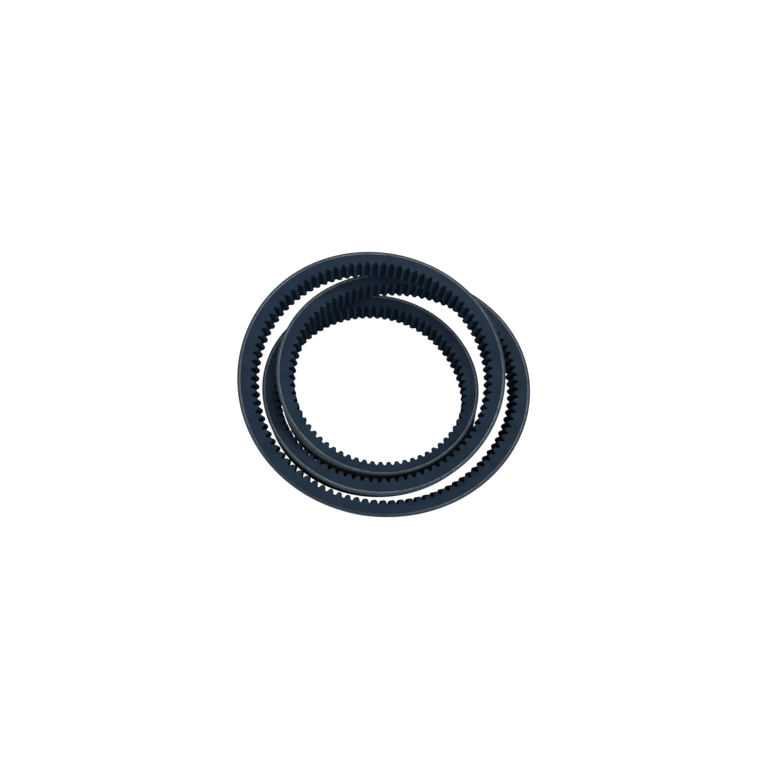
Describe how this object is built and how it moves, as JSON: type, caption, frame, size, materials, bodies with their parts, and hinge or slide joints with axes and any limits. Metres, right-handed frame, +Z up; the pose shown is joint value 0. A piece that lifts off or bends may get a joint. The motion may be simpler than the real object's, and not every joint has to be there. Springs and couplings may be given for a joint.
{
  "type": "v belt",
  "caption": "Endless raw-edge V-belt with moulded cogs on its inner side, wound into three loops for storage and lying on its side.",
  "frame": {"origin": "on the resting plane, under the middle of the coil's box", "axes": "+Z up from the resting plane, across the belt's width; +X along the coil's longest side; +Y to the side where the loops stand highest"},
  "size_m": [0.1484, 0.136, 0.0373],
  "materials": {
    "cover_fabric": "rubberised bias-cut fabric, matt",
    "cushion_rubber": "raw-cut, satin",
    "tensile_cord": "twisted polyester cord, sliced at the flanks",
    "compression_rubber": "fibre-loaded rubber, ground flanks, moulded cogs"
  },
  "bodies": {
    "root": {"cover_ply_outer": "cover_fabric", "cover_ply_inner": "cover_fabric", "upper_cushion_rubber": "cushion_rubber", "tensile_cord": "tensile_cord", "lower_cushion_rubber": "cushion_rubber", "compression_rubber": "compression_rubber"}
  },
  "joints": []
}
